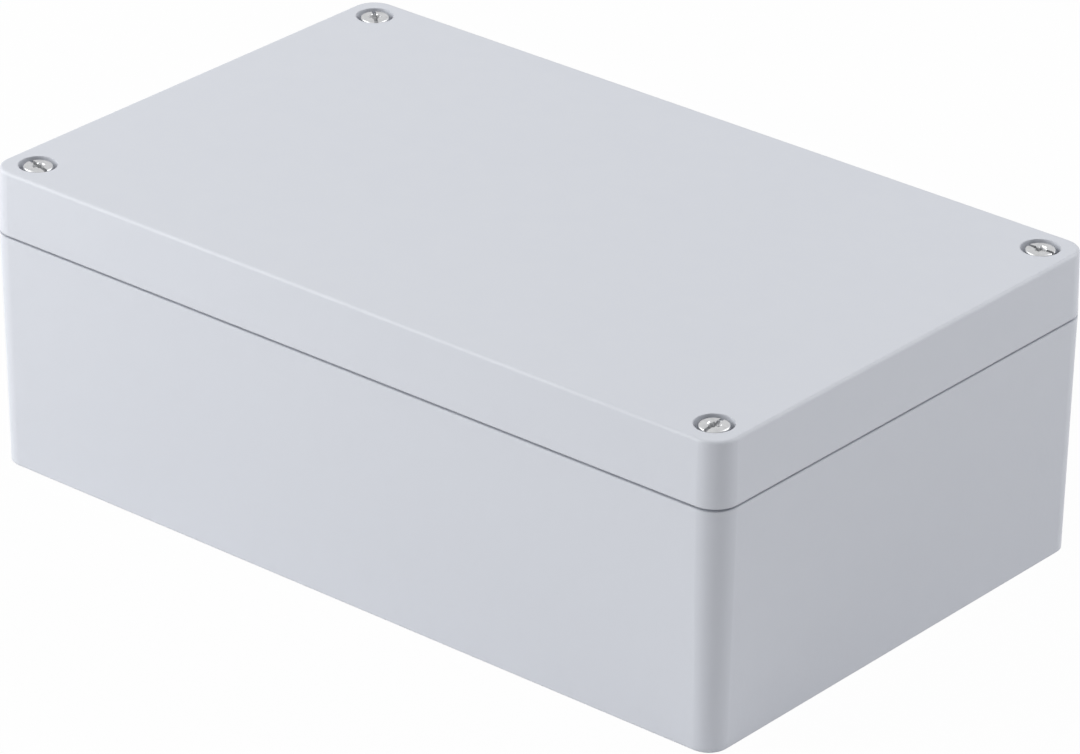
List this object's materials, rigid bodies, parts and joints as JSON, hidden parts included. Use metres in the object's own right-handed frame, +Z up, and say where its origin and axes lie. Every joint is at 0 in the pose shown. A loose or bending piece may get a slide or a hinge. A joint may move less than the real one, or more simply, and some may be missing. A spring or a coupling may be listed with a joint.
{
  "type": "electrical enclosure",
  "caption": "Powder-coated die-cast aluminium case with a drafted base, a gasketed lid, sunk captive lid screws, wall-fixing bores and an inner earth terminal.",
  "frame": {"origin": "middle of the underside of the base", "axes": "+X along the length, +Y towards the rear long side, +Z up from the underside to the lid"},
  "size_m": [0.26, 0.16, 0.091],
  "materials": {
    "powder_coat": "satin",
    "stainless": "satin",
    "plated_steel": "satin",
    "gasket": "matte",
    "ring_nylon": "matte"
  },
  "bodies": {
    "base": {"base_box": "powder_coat"},
    "cover": {"lid": "powder_coat", "lid_gasket": "gasket"},
    "ring_front_right": {"screw_ring_front_right": "ring_nylon"},
    "screw_front_right": {"lid_screw_front_right": "stainless"},
    "ring_front_left": {"screw_ring_front_left": "ring_nylon"},
    "screw_front_left": {"lid_screw_front_left": "stainless"},
    "ring_rear_right": {"screw_ring_rear_right": "ring_nylon"},
    "screw_rear_right": {"lid_screw_rear_right": "stainless"},
    "ring_rear_left": {"screw_ring_rear_left": "ring_nylon"},
    "screw_rear_left": {"lid_screw_rear_left": "stainless"},
    "clamp_set": {"earth_clamp": "plated_steel", "earth_spring_washer": "plated_steel"},
    "terminal_screw": {"earth_screw": "stainless"}
  },
  "joints": [
    {"name": "lid_lift", "type": "slide", "parent": "base", "child": "cover", "axis": [0, 0, 1], "range_m": [0, 0.12]},
    {"name": "screw_front_right_rise", "type": "slide", "parent": "cover", "child": "ring_front_right", "axis": [0, 0, 1], "range_m": [0, 0.0084]},
    {"name": "screw_front_right_turn", "type": "hinge", "parent": "ring_front_right", "child": "screw_front_right", "pos_m": [0.12, -0.07, 0.091], "axis": [0, 0, 1], "range_deg": [0, 3780]},
    {"name": "screw_front_left_rise", "type": "slide", "parent": "cover", "child": "ring_front_left", "axis": [0, 0, 1], "range_m": [0, 0.0084]},
    {"name": "screw_front_left_turn", "type": "hinge", "parent": "ring_front_left", "child": "screw_front_left", "pos_m": [-0.12, -0.07, 0.091], "axis": [0, 0, 1], "range_deg": [0, 3780]},
    {"name": "screw_rear_right_rise", "type": "slide", "parent": "cover", "child": "ring_rear_right", "axis": [0, 0, 1], "range_m": [0, 0.0084]},
    {"name": "screw_rear_right_turn", "type": "hinge", "parent": "ring_rear_right", "child": "screw_rear_right", "pos_m": [0.12, 0.07, 0.091], "axis": [0, 0, 1], "range_deg": [0, 3780]},
    {"name": "screw_rear_left_rise", "type": "slide", "parent": "cover", "child": "ring_rear_left", "axis": [0, 0, 1], "range_m": [0, 0.0084]},
    {"name": "screw_rear_left_turn", "type": "hinge", "parent": "ring_rear_left", "child": "screw_rear_left", "pos_m": [-0.12, 0.07, 0.091], "axis": [0, 0, 1], "range_deg": [0, 3780]},
    {"name": "earth_screw_rise", "type": "slide", "parent": "base", "child": "clamp_set", "axis": [0, 0, 1], "range_m": [0, 0.0089]},
    {"name": "earth_screw_turn", "type": "hinge", "parent": "clamp_set", "child": "terminal_screw", "pos_m": [-0.085, 0.052, 0.0166], "axis": [0, 0, 1], "range_deg": [0, 3204]}
  ],
  "couplings": [
    {"joint": "screw_front_right_turn", "follows": "screw_front_right_rise", "rad_per_m": 7854},
    {"joint": "screw_front_left_turn", "follows": "screw_front_left_rise", "rad_per_m": 7854},
    {"joint": "screw_rear_right_turn", "follows": "screw_rear_right_rise", "rad_per_m": 7854},
    {"joint": "screw_rear_left_turn", "follows": "screw_rear_left_rise", "rad_per_m": 7854},
    {"joint": "earth_screw_turn", "follows": "earth_screw_rise", "rad_per_m": 6283.2}
  ]
}
